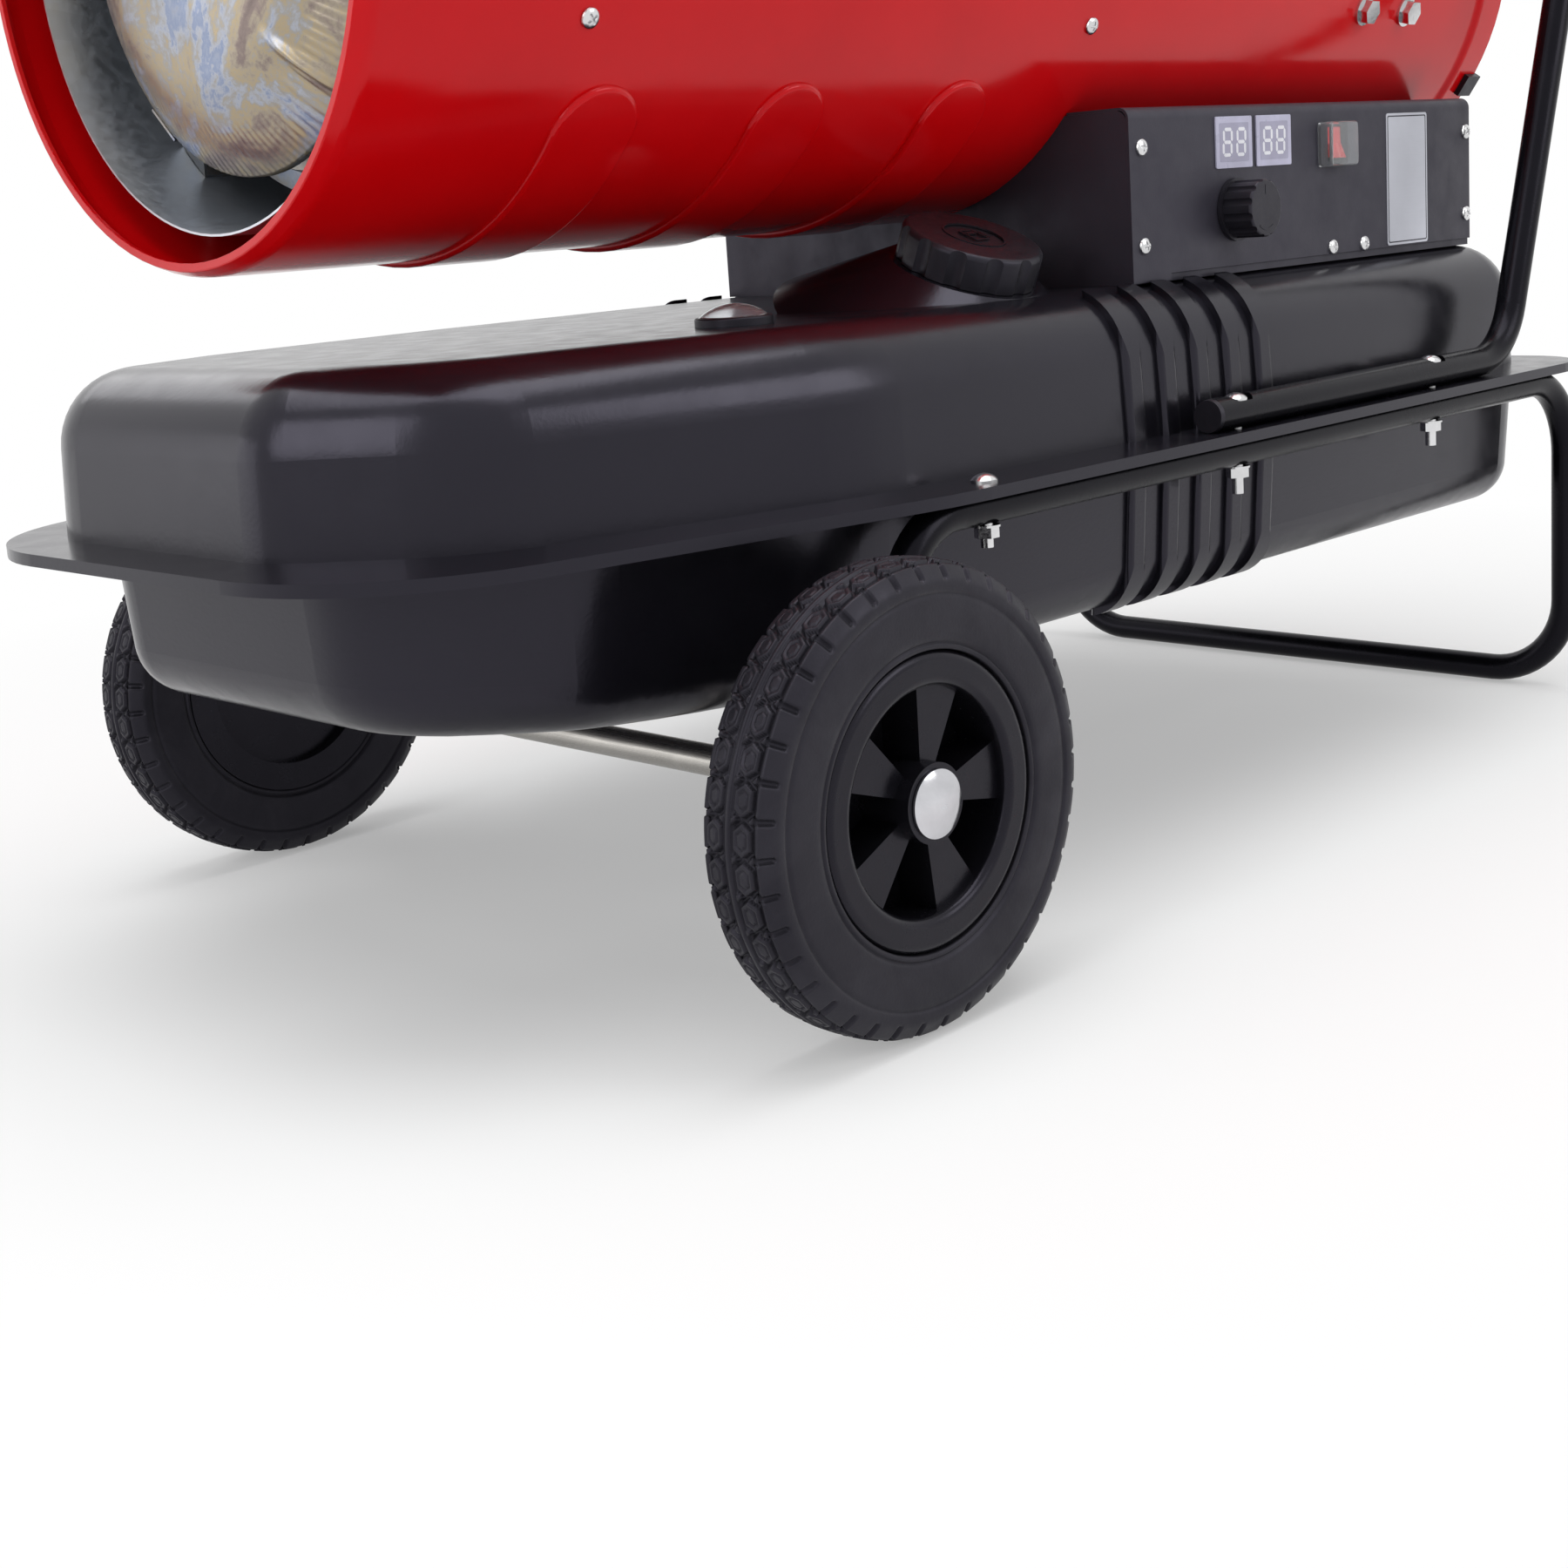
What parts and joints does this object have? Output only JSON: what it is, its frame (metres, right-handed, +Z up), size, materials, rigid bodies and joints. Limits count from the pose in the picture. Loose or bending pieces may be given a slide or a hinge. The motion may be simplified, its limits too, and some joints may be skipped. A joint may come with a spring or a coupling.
{
  "type": "forced air heater",
  "caption": "Wheeled forced air heater: red barrel with flame deflector over a black fuel tank, control box with knob and displays, tube stand and push handle.",
  "frame": {"origin": "centre of the footprint box on the floor", "axes": "+X from the hot-air outlet to the push handle, -Y the control panel side, +Z up"},
  "size_m": [0.966, 0.5266, 0.6407],
  "materials": {
    "tank_paint": "gloss black paint",
    "frame_paint": "black powder coat",
    "barrel_paint": "gloss red paint",
    "panel_paint": "fine satin dark grey paint",
    "black_plastic": "fine grained black plastic",
    "rim_plastic": "satin black plastic",
    "tyre_rubber": "black rubber",
    "rubber": "black rubber",
    "zinc": "bright zinc",
    "chrome": "polished",
    "steel": "bare steel",
    "galvanised": "galvanised sheet",
    "hot_steel": "heat-tinted sheet steel",
    "brass": "turned",
    "aluminium": "cast and pressed",
    "motor_paint": "dark grey paint",
    "ceramic": "glazed white",
    "white_plastic": "plain white",
    "red_plastic": "gloss red",
    "clear_plastic": "clear",
    "display_grey": "pale grey display face",
    "plate_silver": "blank satin plate",
    "board_green": "circuit board"
  },
  "bodies": {
    "chassis": {"tank_lower_shell": "tank_paint", "tank_upper_shell": "tank_paint", "drain_plug": "zinc", "filler_strainer": "brass", "fuel_gauge_housing": "black_plastic", "fuel_gauge_lens": "clear_plastic", "stand_frame": "frame_paint", "handle_tube": "frame_paint", "handle_plugs": "black_plastic", "flange_bolts": "zinc", "flange_nuts": "zinc", "axle": "steel", "axle_spacers": "frame_paint", "axle_caps": "chrome", "barrel_lower_shell": "barrel_paint", "barrel_upper_shell": "barrel_paint", "barrel_screws": "zinc", "outlet_liner": "galvanised", "liner_standoffs": "steel", "combustion_chamber": "hot_steel", "flame_deflector": "hot_steel", "deflector_brackets": "hot_steel", "burner_head": "steel", "nozzle": "brass", "electrodes": "ceramic", "flame_sensor": "black_plastic", "motor_case": "motor_paint", "motor_bracket": "galvanised", "motor_bolts": "zinc", "pump_body": "aluminium", "pump_filter_cover": "black_plastic", "rear_guard": "chrome", "guard_clips": "black_plastic", "air_hose": "rubber", "fuel_hose": "rubber", "pedestal_shell": "panel_paint", "pedestal_screws": "zinc", "control_panel": "panel_paint", "panel_screws": "zinc", "thermostat_body": "black_plastic", "display_modules": "display_grey", "switch_housing": "black_plastic", "switch_cover": "clear_plastic", "rating_plate": "plate_silver", "control_board": "board_green", "ignition_transformer": "black_plastic", "cable_gland": "black_plastic"},
    "wheel_left": {"wheel_rim_left": "rim_plastic", "tyre_left": "tyre_rubber"},
    "wheel_right": {"wheel_rim_right": "rim_plastic", "tyre_right": "tyre_rubber"},
    "rotor": {"motor_shaft": "steel", "fan": "aluminium", "pump_rotor": "steel"},
    "knob": {"thermostat_knob": "black_plastic"},
    "rocker": {"switch_rocker": "red_plastic"},
    "cap_seal": {"cap_gasket": "rubber"},
    "cap": {"filler_cap": "black_plastic"},
    "float": {"gauge_float": "white_plastic"},
    "pointer": {"fuel_gauge_pointer": "red_plastic"}
  },
  "joints": [
    {"name": "wheel_left_spin", "type": "hinge", "parent": "chassis", "child": "wheel_left", "pos_m": [-0.273, -0.2394, 0.1], "axis": [0, 1, 0], "continuous": true},
    {"name": "wheel_right_spin", "type": "hinge", "parent": "chassis", "child": "wheel_right", "pos_m": [-0.273, 0.2394, 0.1], "axis": [0, 1, 0], "continuous": true},
    {"name": "fan_spin", "type": "hinge", "parent": "chassis", "child": "rotor", "pos_m": [0.2145, 0, 0.4782], "axis": [1, 0, 0], "continuous": true},
    {"name": "thermostat_turn", "type": "hinge", "parent": "chassis", "child": "knob", "pos_m": [0.119, -0.152, 0.3243], "axis": [0, -1, 0], "range_deg": [0, 270]},
    {"name": "switch_rock", "type": "hinge", "parent": "chassis", "child": "rocker", "pos_m": [0.2214, -0.1505, 0.3565], "axis": [1, 0, 0], "range_deg": [0, 24]},
    {"name": "cap_lift", "type": "slide", "parent": "chassis", "child": "cap_seal", "axis": [0, -0.3827, 0.9239], "range_m": [0, 0.012]},
    {"name": "cap_turn", "type": "hinge", "parent": "cap_seal", "child": "cap", "pos_m": [-0.059, -0.108, 0.30509], "axis": [0, -0.3827, 0.9239], "range_deg": [0, 720]},
    {"name": "float_swing", "type": "hinge", "parent": "chassis", "child": "float", "pos_m": [-0.207, -0.091, 0.262], "axis": [0, -1, 0], "range_deg": [-30, 35]},
    {"name": "gauge_needle", "type": "hinge", "parent": "chassis", "child": "pointer", "pos_m": [-0.207, -0.091, 0.292], "axis": [0, 0, 1], "range_deg": [-45, 52.5]}
  ],
  "couplings": [
    {"joint": "cap_turn", "follows": "cap_lift", "rad_per_m": 1047.2},
    {"joint": "gauge_needle", "follows": "float_swing", "ratio": 1.5}
  ]
}
